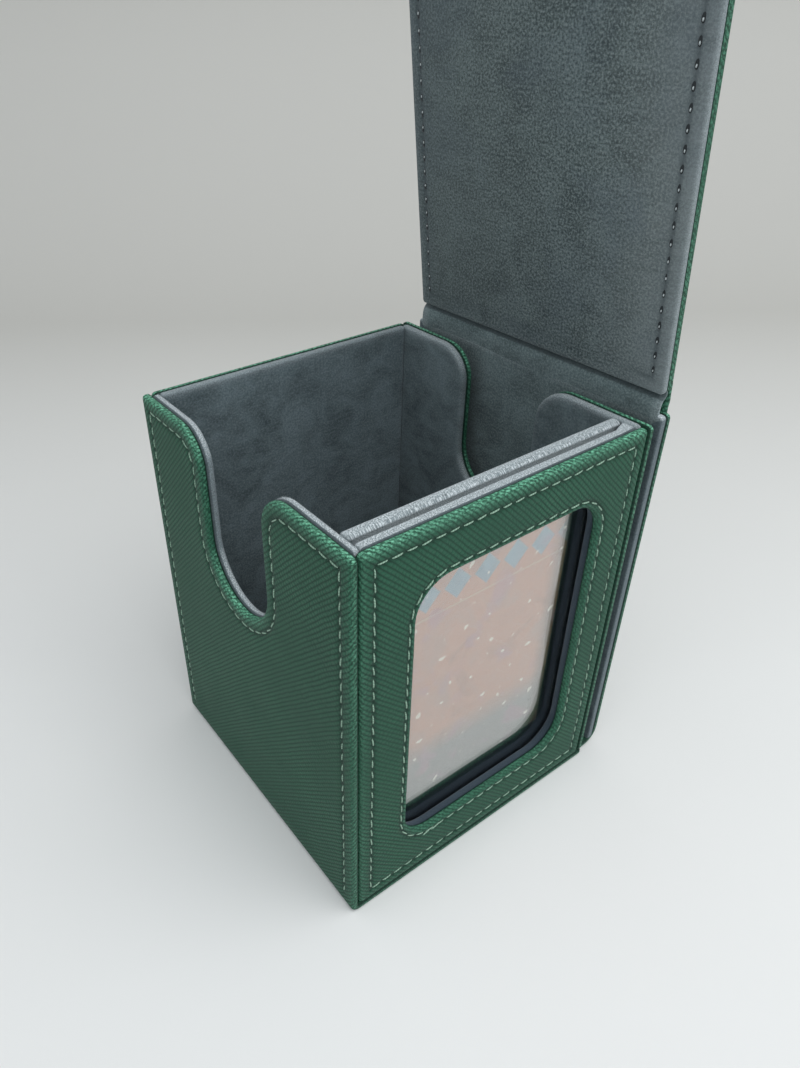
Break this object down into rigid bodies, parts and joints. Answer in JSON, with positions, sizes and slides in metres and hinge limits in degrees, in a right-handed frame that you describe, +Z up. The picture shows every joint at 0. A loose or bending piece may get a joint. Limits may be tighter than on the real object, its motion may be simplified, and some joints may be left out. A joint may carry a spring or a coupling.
{
  "type": "card deck box",
  "caption": "Leather-wrapped card deck box with a display window, thumb notches, a wrap-over lid with a magnetic closing flap, and a removable display card.",
  "frame": {"origin": "middle of the base's underside, on the surface the box stands on", "axes": "+Z up; +Y from the window wall to the back wall; +X from the closing wall to the spine and lid hinge"},
  "size_m": [0.0953, 0.089, 0.2806],
  "materials": {
    "green_leather": "cross-grain embossed, satin",
    "grey_suede": "brushed suede nap, matte",
    "greyboard": "raw board, matte",
    "magnet": "nickel plated",
    "clear_plastic": "clear, glossy",
    "card_print": "printed and coated"
  },
  "bodies": {
    "box": {"closing_wall_leather": "green_leather", "closing_wall_board": "greyboard", "closing_wall_lining": "grey_suede", "closing_wall_magnets": "magnet", "right_wall_leather": "green_leather", "right_wall_board": "greyboard", "right_wall_lining": "grey_suede", "window_panel_leather": "green_leather", "window_panel_board": "greyboard", "window_panel_lining": "grey_suede", "pocket_wall": "grey_suede", "back_wall_leather": "green_leather", "back_wall_board": "greyboard", "back_wall_lining": "grey_suede", "base_leather": "green_leather", "base_board": "greyboard", "floor_lining": "grey_suede", "spine_leather": "green_leather", "spine_board": "greyboard", "spine_lining": "grey_suede", "lid_crease": "green_leather"},
    "lid": {"lid_leather": "green_leather", "lid_board": "greyboard", "lid_lining": "grey_suede", "flap_crease": "green_leather"},
    "flap": {"flap_leather": "green_leather", "flap_board": "greyboard", "flap_lining": "grey_suede", "flap_magnets": "magnet"},
    "card_holder": {"card_holder": "clear_plastic", "display_card": "card_print"}
  },
  "joints": [
    {"name": "lid_hinge", "type": "hinge", "parent": "box", "child": "lid", "pos_m": [0.0513, 0, 0.11625], "axis": [0, 1, 0], "range_deg": [-83.2, 125], "deforming": ["lid_crease"]},
    {"name": "flap_hinge", "type": "hinge", "parent": "lid", "child": "flap", "pos_m": [0.03952, 0, 0.21505], "axis": [0, 1, 0], "range_deg": [-90, 30], "deforming": ["flap_crease"]},
    {"name": "card_holder_slide", "type": "slide", "parent": "box", "child": "card_holder", "axis": [0, 0, 1], "range_m": [0, 0.1135]}
  ]
}
